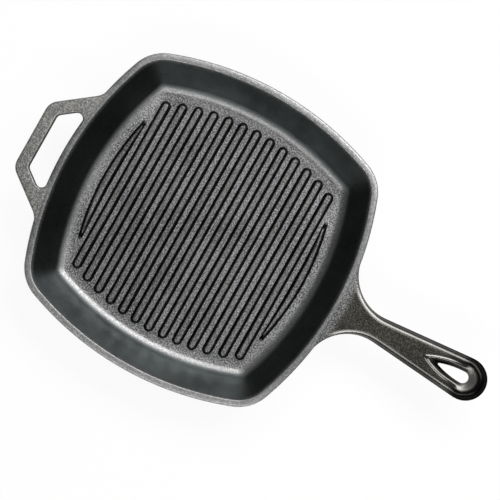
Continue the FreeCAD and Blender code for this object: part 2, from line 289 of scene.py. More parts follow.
def makeBowl():
    piece = startPiece("panBowl")
    bandFoot = pan["bandFoot"]
    radius = pan["sideBow"]
    corner = math.radians(halfTurn)
    drawFrom(-bowCentre + radius * math.cos(corner), -radius * math.sin(corner), bandFoot)
    for quarter in range(4):
        facing = math.radians(90 * quarter)
        diagonal = facing + math.radians(45)
        drawArc(-bowCentre * math.cos(facing), -bowCentre * math.sin(facing), 2 * halfTurn, pan["sideSteps"])
        reach = cornerPlace * math.sqrt(2)
        drawArc(reach * math.cos(diagonal), reach * math.sin(diagonal), 90 - 2 * halfTurn, pan["cornerSteps"])
    closeLoop(fill=True)
    thicken(rimBandTop - bandFoot)
    pickFaces(lambda middle, facing: facing.z > 0.9)
    insetAlong(rimSection(), True)
    pickFaces(lambda middle, facing: facing.z < -0.9 and near(middle.z, bandFoot))
    insetAlong(underSection(), False)
    finishPiece(piece, "wall_iron", "pan_floor", "pan_wall", "rim")

    def inWall(x, y, z, facing):
        return facing.x * x + facing.y * y < 0 and z < pan["height"] - 1

    def isOutside(z, facing):
        return z < pan["height"] - 1.8 and (z < pan["floor"] - 0.2 or facing.z < 0.1)

    def rimShare(z):
        return 1.0 if z > pan["height"] - 2 else 0.0

    def sandyShare(x, y, z, facing):
        # full on floor and rim, faint on the walls
        if inWall(x, y, z, facing):
            return 1 - (1 - wearAndPaintedLight["wallSand"]) * smoothStep(0.5, 4.3, z - pan["floor"])
        return wearAndPaintedLight["wallSand"] if isOutside(z, facing) else 1.0

    def wornShare(x, y, z, facing):
        # the grain is rubbed off the rim and the foot of the wall
        if inWall(x, y, z, facing):
            up = z - pan["floor"]
            higher = (wearAndPaintedLight["wallWorn"] - wearAndPaintedLight["footWorn"]) * smoothStep(2.8, 9.8, up)
            return smoothStep(0.01, 0.4, up) * (wearAndPaintedLight["footWorn"] + higher)
        return wearAndPaintedLight["rimWorn"] * rimShare(z)

    def rubbedAndLitShare(x, y, z, facing):
        # the rim is rubbed bright; the foot of the wall is painted lighter under its highlight and the
        # floor's edge painted brighter, as painted light; all less so beside the handles, as painted shade
        if isOutside(z, facing):
            return 0.0
        beside = smoothStep(0.72, 0.86, abs(x) / max(math.hypot(x, y), 1))
        rubbedAndLit = 1 - (1 - wearAndPaintedLight["besideHandlesLit"]) * beside
        across, along = sorted((abs(x), abs(y)))
        out = math.hypot(along + bowCentre, across) - pan["sideBow"] + rimOut
        strip = wearAndPaintedLight["strip"] * smoothStep(-pan["floorEdge"], 0, out)
        up = z - pan["floor"]
        if inWall(x, y, z, facing):
            foot = smoothStep(0.01, 0.4, up)
            return rubbedAndLit * (foot + strip * (1 - foot)) * (1 - smoothStep(1.8, 4.8, up))
        return rubbedAndLit * (strip if up < 0.1 else rimShare(z))

    def sootAndShadeShare(x, y, z, facing):
        # painted shade: the walls beside the handles are painted the blackest, and the wall to the left of
        # the main handle darker; the outside is dark
        if inWall(x, y, z, facing):
            sootAndShade = wearAndPaintedLight["helperPaintedShade"] * smoothStep(0.5, 0.8, facing.x)
            sootAndShade += wearAndPaintedLight["handlePaintedShade"] * smoothStep(0.5, 0.8, -facing.x)
            return sootAndShade + wearAndPaintedLight["leftPaintedShade"] * smoothStep(0.5, 0.8, -facing.y)
        return wearAndPaintedLight["outsideSoot"] if isOutside(z, facing) else 0.0

    markPoints(piece, "root", rubbedAndLitShare)
    markPoints(piece, "sandy", sandyShare)
    markPoints(piece, "worn", wornShare)
    markPoints(piece, "sootAndShade", sootAndShadeShare)
    print("bowl", len(piece.data.polygons), "faces")
    return piece


# the ribs: one straight bar, copied and stretched, and one crescent, copied and turned

rib = {
    "count": 15,
    "height": 4.2,
    "baseHalf": 4.1,
    "topHalf": 2.2,
    "edgeRound": 1.1,
    "footRound": 0.9,        # small cast fillet where the rib grows out of the floor
    "sunk": 0.15,            # the foot of the fillet lies this far below the floor's face
    "skirt": 0.35,           # and this far out
    "sideGap": 4.2,
    "endGap": 3.4,
    "endArc": 204.0,         # the rib ends lie on this arc
    "crescentLength": 114.0,
    "crescentTip": 3.0,
    "crescentTaper": 2.1,    # how much narrower the tip is at the top
    "crescentSetback": 4.0,
    "roundSteps": 32,
    "crescentSteps": 44,
    "tipSteps": 6,
}
ribPlace = floorHalf - rib["sideGap"] - rib["baseHalf"]
ribPitch = 2 * ribPlace / (rib["count"] - 1)
draft = math.degrees(math.atan2(rib["baseHalf"] - rib["topHalf"], rib["height"]))


def ribSection():
    # from under the floor's face, up the fillet and the side, and over the rounded edge
    foot = rib["footRound"]
    edge = rib["edgeRound"]
    half = math.tan(math.radians((90 - draft) / 2))
    footStart = rib["baseHalf"] + foot * half
    section = [(footStart + rib["skirt"], -rib["sunk"])]
    section += roundOff(footStart, foot, foot, -90, -180 + draft, 4)
    centre = rib["topHalf"] - edge * half
    section += roundOff(centre, rib["height"] - edge, edge, draft, 90, 5)
    section.append((centre * 0.5, rib["height"]))
    return [(section[0][0] - out, z + pan["floor"]) for out, z in section], section[0][0]


def ribSandy(x, y, z, facing):
    # the tops are sandy, the sides smooth; the rib finish paints the smooth sides near black, as painted
    # shade
    return smoothStep(3.2, 4.05, z - pan["floor"])


def makeStraightRibs():
    section, widest = ribSection()
    steps = rib["roundSteps"]
    bpy.ops.object.select_all(action="DESELECT")
    bpy.ops.mesh.primitive_circle_add(vertices=steps, radius=widest * mm, fill_type="NGON")
    first = bpy.context.object
    first.name = "ribBar"
    bpy.ops.object.mode_set(mode="EDIT")
    bpy.ops.mesh.select_all(action="SELECT")
    bpy.ops.transform.rotate(value=math.pi / steps, orient_axis="Z", center_override=(0, 0, 0))
    bpy.ops.transform.translate(value=(0, 0, section[0][1] * mm))
    insetAlong(section, True)
    pickOpenEdges(lambda middle: True)
    bpy.ops.mesh.edge_face_add()
    bpy.ops.mesh.select_all(action="SELECT")
    bpy.ops.mesh.normals_make_consistent(inside=False)
    bpy.ops.object.mode_set(mode="OBJECT")
    last = (rib["count"] - 1) // 2
    ribs = []
    for step in range(-last + 1, last):
        place = step * ribPitch
        reach = rib["endArc"] - rib["baseHalf"]
        halfLength = floorHalf - rib["endGap"] - rib["endArc"] + math.sqrt(reach ** 2 - place ** 2)
        bpy.ops.object.select_all(action="DESELECT")
        first.select_set(True)
        bpy.context.view_layer.objects.active = first
        bpy.ops.object.duplicate()
        piece = bpy.context.object
        piece.name = "rib%02d" % (step + last + 1)
        piece.data.name = piece.name
        bpy.ops.object.mode_set(mode="EDIT")
        for side in (1, -1):
            bpy.ops.mesh.select_mode(type="VERT")
            bpy.ops.mesh.select_all(action="DESELECT")
            mesh = editing()
            for vertex in mesh.verts:
                vertex.select_set(vertex.co.y * side > 0)
            bmesh.update_edit_mesh(piece.data)
            bpy.ops.transform.translate(value=(0, side * halfLength * mm, 0))
        bpy.ops.mesh.select_all(action="SELECT")
        bpy.ops.transform.translate(value=(place * mm, 0, 0))
        finishPiece(piece, "rib_iron", "rib_%02d" % (step + last + 1))
        markPoints(piece, "sandy", ribSandy)
        ribs.append(piece)
    bpy.data.objects.remove(first)
    return ribs


def drawCrescent(inset, z):
    slide = inset / (rib["baseHalf"] - rib["topHalf"])
    half = (rib["crescentLength"] - rib["crescentTip"]) / 2 - slide * rib["crescentSetback"]
    tip = max(rib["crescentTip"] - slide * rib["crescentTaper"], 0.5)
    radius = pan["sideBow"] - rimOut - rib["sideGap"] - inset
    outer = -bowCentre + math.sqrt(radius ** 2 - half ** 2)
    inner = outer - tip
    sag = ribPlace - rib["baseHalf"] + inset - inner
    bend = (half ** 2 + sag ** 2) / (2 * sag)
    drawFrom(outer, -half, z)
    drawArc(-bowCentre, 0, 2 * math.degrees(math.asin(half / radius)), rib["crescentSteps"])
    drawArc((outer + inner) / 2, half, 180, rib["tipSteps"])
    drawArc(inner + sag - bend, 0, -2 * math.degrees(math.asin(half / bend)), rib["crescentSteps"])
    drawArc((outer + inner) / 2, -half, 180, rib["tipSteps"])
    closeLoop()


def makeCrescents():
    # distance in and height above the floor, from the sunk foot over the fillet to the rounded top
    levels = [(-0.9, -rib["sunk"]), (-0.6, 0.01), (-0.3, 0.12), (-0.05, 0.36), (0.2, 0.75), (0.62, 1.55)]
    levels += [(1.05, 2.5), (1.45, 3.35), (1.64, 3.7), (1.9, 3.97), (2.2, 4.13), (2.55, 4.19)]
    piece = startPiece("rib15")
    for inset, z in levels:
        drawCrescent(inset, z + pan["floor"])
    for low, high in zip(levels, levels[1:]):
        bridgeLevels(low[1] + pan["floor"], high[1] + pan["floor"])
    for z in (levels[0][1], levels[-1][1]):
        pickOpenEdges(lambda middle: near(middle.z, z + pan["floor"]))
        bpy.ops.mesh.edge_face_add()
    finishPiece(piece, "rib_iron", "rib_15")
    markPoints(piece, "sandy", ribSandy)
    bpy.ops.object.duplicate()
    twin = bpy.context.object
    twin.name = "rib01"
    twin.data.name = "rib01"
    bpy.ops.object.mode_set(mode="EDIT")
    bpy.ops.mesh.select_all(action="SELECT")
    bpy.ops.transform.rotate(value=math.pi, orient_axis="Z", center_override=(0, 0, 0))
    del twin["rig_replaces"]
    finishPiece(twin, "rib_iron", "rib_01")
    return [piece, twin]


# the main handle: flared root, raised border, dished top, teardrop hanging hole

handle = {
    "end": 271.5,
    "endRadius": 18.4,
    "neckPlace": 168.0,
    "neckHalf": 10.9,
    "flare": 39.0,
    "rimBite": 0.3,          # how far the flares run in under the rim's edge
    "ear": 2.2,              # they run on this many degrees under the rim
    "rootInside": 24.0,      # the root is drawn this far into the pan, and then
    "rootTrim": 3.3,         # trimmed this far inside the rim's edge, along the wall
    "thick": 8.5,
    "lipThick": 6.0,
    "edge": 2.4,
    "topEdge": 5.8,
    "rootWide": 5.0,         # beside the pan the top edge is rounded over this width
    "rootDrop": 2.0,         # and only this far down
    "borderBlend": (140.0, 185.0),   # that passes into the raised border between these places
    "borderIn": 6.2,
    "dishIn": 6.95,
    "dish": 0.075,
    "underIn": 3.6,
    "endRoll": 2.4,          # how far the top rolls down at the end of the handle,
    "rollStart": 8.6,        # from this far round the end's middle
    "top": 46.75,
    "shelfEnd": 139.0,
    "flushEnd": 190.0,       # the top comes level with the rim between here and the shelf
    "crest": 180.0,
    "dip": 4.5,
    "sweep": 455.0,
    "holePlace": 250.75,
    "holeBow": 70.0,         # the radius that bows the long sides of the hole and its collar
    "tipRound": 0.16,        # the tip's radius as a share of the round end's
    "collar": (8.6, 35.2),   # the crest round the hole: radius of its round end, reach of its tip
    "collarFade": (-22.0, -4.0),     # the crest sinks between these places, from the hole's middle
    "funnelOut": 10.8,
    "funnelTop": 0.15,
    "funnelSlope": 0.56,
    "lipEnd": 146.0,
    "gussetDeep": 10.0,
    "gussetStart": 148.0,
    "gussetRun": 24.0,
    "gussetHalf": 11.5,
    "gussetFlare": 150.0,    # the gusset widens from here towards the pan
    "flareSteps": 18,
    "sideSteps": 48,
    "endSteps": 24,
    "crossSteps": 8,
}
endPlace = handle["end"] - handle["endRadius"]
sideRun = endPlace - handle["neckPlace"]
sideSlope = math.asin(handle["endRadius"] / math.hypot(sideRun, handle["neckHalf"]))
sideSlope -= math.atan2(handle["neckHalf"], sideRun)


def flareCentre():
    # the middle of the arc that meets both the handle's side and the rim, closer with each pass
    x = handle["neckPlace"]
    reach = pan["sideBow"] + handle["flare"] - handle["rimBite"]
    for step in range(12):
        y = handle["neckHalf"] + (x - handle["neckPlace"]) * math.tan(sideSlope)
        y += handle["flare"] / math.cos(sideSlope)
        x = -bowCentre + math.sqrt(reach ** 2 - y ** 2)
    return x, y


flareX, flareY = flareCentre()


def handleTop(x):
    # side view of the top: the shelf beside the rim, a dip, then a long upward sweep
    dip = math.radians(handle["dip"])
    dipX = handle["shelfEnd"] + handle["crest"] * math.sin(dip)
    dipZ = handle["top"] - handle["crest"] * (1 - math.cos(dip))
    flush = (levelTop - handle["top"]) * (1 - smoothStep(handle["shelfEnd"], handle["flushEnd"], x))
    if x < handle["shelfEnd"]:
        return handle["top"] + flush
    if x < dipX:
        drop = handle["crest"] - math.sqrt(handle["crest"] ** 2 - (x - handle["shelfEnd"]) ** 2)
        return handle["top"] + flush - drop
    sweepX = dipX + handle["sweep"] * math.sin(dip)
    sweepZ = dipZ + handle["sweep"] * math.cos(dip)
    return flush + sweepZ - math.sqrt(handle["sweep"] ** 2 - (x - sweepX) ** 2)


def edgeDistance(x, y):
    # how far in from the handle's side a point lies, seen from above
    y = abs(y)
    if x < flareX + handle["flare"] * math.sin(sideSlope):
        return math.hypot(x - flareX, y - flareY) - handle["flare"]
    if x < endPlace - handle["endRadius"] * math.sin(sideSlope):
        edge = handle["neckHalf"] + (x - handle["neckPlace"]) * math.tan(sideSlope)
        return (edge - y) * math.cos(sideSlope)
    return handle["endRadius"] - math.hypot(x - endPlace, y)


def teardropBow(radius, tip):
    # the middle of the arc that bows one long side of a teardrop, from the hole's middle
    small = handle["tipRound"] * radius
    lengthwise = tip - small
    fromTip = handle["holeBow"] - small
    fromEnd = handle["holeBow"] - radius
    x = (fromTip ** 2 - fromEnd ** 2 - lengthwise ** 2) / (2 * lengthwise)
    return x, math.sqrt(fromEnd ** 2 - x ** 2)


def drawTeardrop(radius, tip, z):
    # round end about the hole's middle, bowed sides, a small round tip towards the pan
    small = handle["tipRound"] * radius
    lengthwise = tip - small
    bowX, bowY = teardropBow(radius, tip)
    endTurn = math.asin(bowX / (handle["holeBow"] - radius))
    tipTurn = math.asin((bowX + lengthwise) / (handle["holeBow"] - small))
    sideTurn = math.degrees(tipTurn - endTurn)
    place = handle["holePlace"]
    half = handle["sideSteps"] // 2
    drawFrom(place - lengthwise - small * math.sin(tipTurn), -small * math.cos(tipTurn), z)
    drawArc(place + bowX, bowY, sideTurn, half)
    drawArc(place, 0, 180 + 2 * math.degrees(endTurn), handle["endSteps"])
    drawArc(place + bowX, -bowY, sideTurn, half)
    drawArc(place - lengthwise, 0, 180 - 2 * math.degrees(tipTurn), handle["crossSteps"])
    closeLoop()


def drawHandlePlan(z):
    # from the root inside the pan, along the ear, the flare and the side, round the end and back
    lift = math.degrees(math.atan2(flareY, flareX + bowCentre))
    ear = handle["ear"]
    aim = math.radians(lift + ear)
    inside = pan["sideBow"] - handle["rootInside"]
    touch = pan["sideBow"] - handle["rimBite"]
    radialX = (touch - inside) * math.cos(aim)
    radialY = (touch - inside) * math.sin(aim)
    turn = 90 - lift + math.degrees(sideSlope)
    meetX = flareX + handle["flare"] * math.sin(sideSlope)
    meetY = flareY - handle["flare"] * math.cos(sideSlope)
    runX = endPlace - handle["endRadius"] * math.sin(sideSlope) - meetX
    runY = handle["endRadius"] * math.cos(sideSlope) - meetY
    drawFrom(-bowCentre + inside * math.cos(aim), -inside * math.sin(aim), z)
    drawLine(radialX, -radialY, 2)
    drawArc(-bowCentre, 0, ear, 1)
    drawArc(flareX, -flareY, -turn, handle["flareSteps"])
    drawLine(runX, -runY, handle["sideSteps"])
    drawArc(endPlace, 0, 180 + 2 * math.degrees(sideSlope), handle["endSteps"])
    drawLine(-runX, -runY, handle["sideSteps"])
    drawArc(flareX, flareY, -turn, handle["flareSteps"])
    drawArc(-bowCentre, 0, ear, 1)
    drawLine(-radialX, -radialY, 2)
    drawArc(-bowCentre, 0, -2 * (lift + ear), 8)
    closeLoop(fill=True)


def splitAcross(level, up):
    # cut the picked flat face across at each point of its sides, as far as the hole's field
    mesh = editing()
    face = [face for face in mesh.faces if face.select][0]
    half = handle["sideSteps"] // 2
    sides = sorted(vertex.co.x for vertex in face.verts if vertex.co.y > 0.1 * mm)
    fieldStart = endPlace - handle["endRadius"] * math.sin(sideSlope)
    fieldStart -= sideRun * half / handle["sideSteps"]
    places = [x for x in sides if x / mm < fieldStart + 6]
    fieldX = min(places, key=lambda x: abs(x / mm - fieldStart))
    for x in [x for x in places if x <= fieldX and x > places[2]]:
        pickFaces(lambda middle, facing: near(middle.z, level, 0.01) and facing.z * up > 0.9)
        bpy.ops.mesh.bisect(plane_co=(x, 0, 0), plane_no=(1, 0, 0), threshold=0.02 * mm)
    return fieldX / mm


def openField(level, fieldX):
    # take out the flat face round the hole, and step its straight edge like the teardrop's tip
    pickFaces(lambda middle, facing: near(middle.z, level, 0.01) and middle.x > fieldX + 1)
    bpy.ops.mesh.delete(type="ONLY_FACE")
    pickOpenEdges(lambda middle: near(middle.z, level) and near(middle.x, fieldX, 0.1))
    bpy.ops.mesh.subdivide(number_cuts=handle["crossSteps"] - 1)


def gridUnderside(level, fieldX):
    # more points across the underside, so that the gusset can swell out of it
    bpy.ops.mesh.select_mode(type="EDGE")
    bpy.ops.mesh.select_all(action="DESELECT")
    mesh = editing()
    for edge in mesh.edges:
        first, second = [vertex.co / mm for vertex in edge.verts]
        across = near(first.x, second.x, 0.05) and abs(first.y - second.y) > 8 and first.x < fieldX - 1
        edge.select_set(across and near(first.z, level) and near(second.z, level))
    bmesh.update_edit_mesh(bpy.context.object.data)
    bpy.ops.mesh.subdivide(number_cuts=11)


def handleDepth(x, y):
    # the lip of the flares is thin, and a gusset runs from the neck down the wall of the pan
    y = abs(y)
    flared = 1 - smoothStep(handle["lipEnd"], handle["neckPlace"], x)
    side = handle["thick"] - (handle["thick"] - handle["lipThick"]) * flared
    run = max(handle["gussetStart"] - x, 0) / handle["gussetRun"]
    middle = handle["thick"] + handle["gussetDeep"] * run ** 2
    width = handle["gussetHalf"] + max(handle["gussetFlare"] - x, 0) ** 2 / 40
    share = 1 - smoothStep(0.5 * width, 1.2 * width, y) * flared
    return side + (middle - side) * share


def bendHandle(piece):
    # the flat handle takes its side view, and its dish runs out on the shelf
    thick = handle["thick"]
    edge = handle["edge"]
    topEdge = handle["topEdge"]
    for vertex in piece.data.vertices:
        x, y, z = vertex.co / mm
        inward = edgeDistance(x, y)
        fromHole = x - handle["holePlace"]
        # the rounded top edge, low and narrow beside the pan
        if z > -topEdge - 0.05 and inward < topEdge + 0.05:
            away = smoothStep(*handle["borderBlend"], x)
            wide = handle["rootWide"] + (topEdge - handle["rootWide"]) * away
            drop = handle["rootDrop"] + (topEdge - handle["rootDrop"]) * away
            z = drop * (math.sqrt(1 - min(max(1 - inward / wide, 0), 1) ** 2) - 1)
        elif z > -1.2:
            z *= smoothStep(handle["shelfEnd"] - 4, handle["shelfEnd"] + 5, x)
        # the collar sinks towards the round end of the hole, where a plain funnel takes its place
        if z > -0.2 and inward > topEdge + 1.3:
            z -= (z + handle["dish"]) * 0.75 * smoothStep(*handle["collarFade"], fromHole)
        around = math.hypot(fromHole, y)
        if z > -4.9 and around < handle["funnelOut"] + 1.8:
            funnel = -handle["funnelTop"] - handle["funnelSlope"] * max(handle["funnelOut"] - around, 0)
            z += (funnel - z) * smoothStep(-7, 5, fromHole)
        # the top rolls down at the end, and the underside takes the gusset
        low = 1 - smoothStep(-thick + edge, -edge, z)
        roll = smoothStep(handle["rollStart"], handle["endRadius"], math.hypot(x - endPlace, y))
        z -= handle["endRoll"] * roll * smoothStep(-3, 9, x - endPlace) * (1 - low)
        z += handleTop(x) - (handleDepth(x, y) - thick) * low
        vertex.co.z = z * mm


def trimRoot(piece):
    # cut the root off along the middle of the pan's wall, which leans
    deep = 70
    top = pan["sideBow"] - handle["rootTrim"]
    low = top - pan["height"] * math.tan(lean)
    high = low + deep * math.tan(lean)
    bpy.ops.object.select_all(action="DESELECT")
    place = (-bowCentre * mm, 0, deep / 2 * mm)
    bpy.ops.mesh.primitive_cone_add(
        vertices=720, radius1=low * mm, radius2=high * mm, depth=deep * mm, location=place
    )
    cutter = bpy.context.object
    bpy.context.view_layer.objects.active = piece
    bpy.ops.object.modifier_add(type="BOOLEAN")
    cut = piece.modifiers[-1]
    cut.operation = "DIFFERENCE"
    cut.solver = "EXACT"
    cut.object = cutter
    bpy.ops.object.modifier_apply(modifier=cut.name)
    bpy.data.objects.remove(cutter)


def makeHandle():
    piece = startPiece("mainHandle")
    edge = handle["edge"]
    thick = handle["thick"]
    dish = -handle["dish"]
    topEdge = handle["topEdge"]
    drawHandlePlan(-thick + edge)
    thicken(thick - edge - topEdge)
    pickFaces(lambda middle, facing: facing.z > 0.9)
    section = [(topEdge - out, z - topEdge) for out, z in roundOff(0, 0, topEdge, 0, 90, 9)]
    section += [(handle["borderIn"], -0.01), (handle["dishIn"], dish)]
    insetAlong(section, True)
    fieldX = splitAcross(dish, 1)
    openField(dish, fieldX)
    pickFaces(lambda middle, facing: facing.z < -0.9 and near(middle.z, -thick + edge))
    section = [(edge - out, -thick + edge + z) for out, z in roundOff(0, 0, edge, 0, -90, 5)]
    base = -thick - 0.06
    section.append((handle["underIn"], base))
    insetAlong(section, False)
    fieldX = splitAcross(base, -1)
    openField(base, fieldX)
    gridUnderside(base, fieldX)

    # the hole: collar foot, crest, funnel, bore and the rounded edge below
    # each ring is the radius of its round end, the reach of its tip, and its height
    rings = [(9.9, 38.4, dish - 0.06), (9.5, 37.5, 0.02), (9.1, 36.5, 0.3), (*handle["collar"], 0.5)]
    rings += [(8.0, 33.8, 0.4), (7.3, 31.7, -0.2), (6.6, 29.2, -1.0), (5.9, 26.7, -2.1), (5.3, 24.6, -3.3)]
    rings += [(4.9, 23.1, -4.8), (4.9, 23.0, -6.4), (5.2, 23.6, -7.6), (6.0, 25.2, -8.3)]
    rings.append((7.2, 27.6, base - 0.06))
    for radius, tip, z in rings:
        drawTeardrop(radius, tip, z)
    for upper, lower in zip(rings, rings[1:]):
        bridgeLevels(upper[2], lower[2])
    bridgeLevels(dish, rings[0][2])
    bridgeLevels(base, rings[-1][2])
    bpy.ops.mesh.select_all(action="SELECT")
    bpy.ops.mesh.normals_make_consistent(inside=False)
    bpy.ops.object.mode_set(mode="OBJECT")
    bendHandle(piece)
    bpy.ops.object.modifier_add(type="SUBSURF")
    piece.modifiers[-1].levels = 1
    piece.modifiers[-1].render_levels = 1
    bpy.ops.object.modifier_apply(modifier=piece.modifiers[-1].name)
    bpy.ops.object.mode_set(mode="EDIT")
    bpy.ops.mesh.select_all(action="SELECT")
    bpy.ops.mesh.quads_convert_to_tris(quad_method="SHORTEST_DIAGONAL", ngon_method="BEAUTY")
    bpy.ops.object.mode_set(mode="OBJECT")
    trimRoot(piece)
    finishPiece(piece, "handle_iron", "main_handle")

    def rimDistance(x, y):
        return math.hypot(x + bowCentre, y) - pan["sideBow"]

    def collarDistance(x, y):
        # how far outside the crest of the collar
        bowX, bowY = teardropBow(*handle["collar"])
        return math.hypot(x - handle["holePlace"] - bowX, abs(y) + bowY) - handle["holeBow"]

    def funnelShare(x, y, z, facing):
        # rubbed bright where the handle hangs on a hook, and painted lighter there as painted reflections
        out = math.hypot(x - handle["holePlace"], y)
        return (1 - smoothStep(9.0, 11.8, out)) * smoothStep(-3, 3, x - handle["holePlace"])

    def shelfShare(x, y):
        # the shelf beside the pan looks like the rim
        return 1 - smoothStep(0.8, 7.5, rimDistance(x, y))

    def rubbedAndLitShare(x, y, z, facing):
        # the edges of the flares and the crest of the collar are painted brighter as well, as painted
        # highlights
        edges = 1 - smoothStep(2.6, 4.0, edgeDistance(x, y))
        edges *= 1 - smoothStep(8, 45, rimDistance(x, y))
        crest = 0.4 - 0.4 * smoothStep(0.8, 2.0, abs(collarDistance(x, y)))
        crest *= 1 - smoothStep(-26, -8, x - handle["holePlace"])
        return max(edges, crest, shelfShare(x, y), funnelShare(x, y, z, facing))

    def sandyShare(x, y, z, facing):
        # sandy in the dish, smooth on the border and round the hole
        border = 2.9 + 2.1 * smoothStep(*handle["borderBlend"], x)
        inside = smoothStep(border, border + 2, edgeDistance(x, y)) * (1 - smoothStep(222, 248, x))
        inside *= smoothStep(0.6, 2.4, collarDistance(x, y))
        return max(inside, shelfShare(x, y))

    def sootAndShadeShare(x, y, z, facing):
        # painted shade: the roll round the end is painted the blackest part
        out = math.hypot(x - handle["holePlace"], y)
        return smoothStep(10.5, 12.5, out) * smoothStep(-10, 0, x - handle["holePlace"])

    markPoints(piece, "sandy", sandyShare)
    markPoints(piece, "root", rubbedAndLitShare)
    markPoints(piece, "worn", funnelShare)
    markPoints(piece, "sootAndShade", sootAndShadeShare)
    print("main handle", len(piece.data.polygons), "faces")
    return piece


# the helper handle: a flat loop, level with the rim and flared into it

helper = {
    "bar": -162.6,
    "barWidth": 11.3,
    "armWidth": 11.5,
    "halfSpan": 30.6,
    "armAngle": 37.2,
    "outerRound": 13.0,
    "holeRound": 5.0,
    "flare": 16.0,
    "edge": 1.7,
    "hold": 0.5,             # a narrow flat strip beside each rounded edge
    "foot": 41.02,
    "rimBite": 0.3,          # how far the rounds run in under the rim's edge
    "inside": 5.0,           # the ends of the arms lie this far inside the rim's edge
    "ear": 1.0,              # and run on this many degrees under the rim
    "roundSteps": 8,
    "armSteps": 6,
}


def loopCorners(outer):
    # key points of the upper arm along its outer edge, or along the opening
    angle = math.radians(helper["armAngle"])
    along = (math.cos(angle), math.sin(angle))
    out = (-along[1], along[0])
    barX = helper["bar"] if outer else helper["bar"] + helper["barWidth"]
    edge = 0 if outer else -helper["armWidth"]
    bend = helper["outerRound"] if outer else helper["holeRound"]
    root = helper["flare"] if outer else helper["holeRound"]
    away = 1 if outer else -1

    # the corner at the bar: as far from the bar as from the arm
    run = (barX + bend - helper["bar"] + (edge - bend) * along[1]) / along[0]
    corner = (barX + bend, helper["halfSpan"] + run * along[1] + (edge - bend) * along[0])
    cornerBar = (corner[0] - bend, corner[1])
    cornerArm = (corner[0] + bend * out[0], corner[1] + bend * out[1])

    # the round between the arm and the rim
    side = edge + away * root
    x = helper["bar"] - bowCentre + side * out[0]
    y = helper["halfSpan"] + side * out[1]
    back = x * along[0] + y * along[1]
    touch = pan["sideBow"] - helper["rimBite"]
    reach = touch + root
    run = -back - math.sqrt(back ** 2 - x ** 2 - y ** 2 + reach ** 2)
    blend = (bowCentre + x + run * along[0], y + run * along[1])
    blendArm = (blend[0] - away * root * out[0], blend[1] - away * root * out[1])
    aim = math.atan2(blend[1], bowCentre - blend[0])
    held = pan["sideBow"] - helper["inside"]
    blendRim = (bowCentre - touch * math.cos(aim), touch * math.sin(aim))
    aim += away * math.radians(helper["ear"])
    earTip = (bowCentre - touch * math.cos(aim), touch * math.sin(aim))
    hidden = (bowCentre - held * math.cos(aim), held * math.sin(aim))
    return [hidden, earTip, blendRim, blend, blendArm, cornerArm, corner, cornerBar], math.degrees(aim)


def drawRound(centre, start, stop, steps):
    turn = math.atan2(stop[1] - centre[1], stop[0] - centre[0])
    turn -= math.atan2(start[1] - centre[1], start[0] - centre[0])
    drawArc(*centre, (math.degrees(turn) + 180) % 360 - 180, steps)


def drawArmEdge(points, outward):
    hidden, earTip, rim, blend, blendArm, cornerArm, corner, cornerBar = points
    rounds = helper["roundSteps"]
    if outward:
        drawLine(earTip[0] - hidden[0], earTip[1] - hidden[1], 1)
        drawArc(bowCentre, 0, -helper["ear"], 1)
        drawRound(blend, rim, blendArm, rounds)
        drawLine(cornerArm[0] - blendArm[0], cornerArm[1] - blendArm[1], helper["armSteps"])
        drawRound(corner, cornerArm, cornerBar, rounds)
    else:
        drawRound(corner, cornerBar, cornerArm, rounds)
        drawLine(blendArm[0] - cornerArm[0], blendArm[1] - cornerArm[1], helper["armSteps"])
        drawRound(blend, blendArm, rim, rounds)
        drawArc(bowCentre, 0, -helper["ear"], 1)
        drawLine(hidden[0] - earTip[0], hidden[1] - earTip[1], 1)


def drawLoop(z):
    # one outline like a C: along the outer edge from arm to arm, and back along the opening
    outer, outerAim = loopCorners(True)
    opening, openingAim = loopCorners(False)
    drawFrom(outer[0][0], -outer[0][1], z)
    drawArmEdge([(x, -y) for x, y in outer], True)
    drawLine(0, 2 * outer[-1][1], helper["roundSteps"])
    drawArmEdge(outer, False)
    drawArc(bowCentre, 0, outerAim - openingAim, helper["armSteps"])
    drawArmEdge(opening, True)
    drawLine(0, -2 * opening[-1][1], helper["roundSteps"])
    drawArmEdge([(x, -y) for x, y in opening], False)
    drawArc(bowCentre, 0, outerAim - openingAim, helper["armSteps"])
    closeLoop(fill=True)


def makeHelper():
    piece = startPiece("helperLoop")
    edge = helper["edge"]
    foot = helper["foot"]
    top = levelTop
    flat = edge + helper["hold"]
    drawLoop(foot + edge)
    thicken(top - foot - 2 * edge)
    arc = roundOff(0, 0, edge, 0, 90, 5)
    pickFaces(lambda middle, facing: facing.z > 0.9)
    insetAlong([(edge - out, top - edge + z) for out, z in arc] + [(flat, top)], True)
    pickFaces(lambda middle, facing: facing.z < -0.9)
    insetAlong([(edge - out, foot + edge - z) for out, z in arc] + [(flat, foot)], False)
    finishPiece(piece, "rim_iron", "helper_handle")

    # the top is sandy, the edges are rubbed smooth and painted near black, as painted shade
    markPoints(piece, "sandy", lambda x, y, z, facing: 0.2 + 0.8 * smoothStep(0.4, 0.9, facing.z))
    markPoints(piece, "worn", lambda x, y, z, facing: 1 - smoothStep(0.4, 0.9, facing.z))
    print("helper loop", len(piece.data.polygons), "faces")
    return piece


bowl = makeBowl()
ribs = makeStraightRibs() + makeCrescents()
print("ribs", len(ribs))
mainHandle = makeHandle()
helperLoop = makeHelper()

# finishes: seasoned iron, worked out on object coordinates in metres

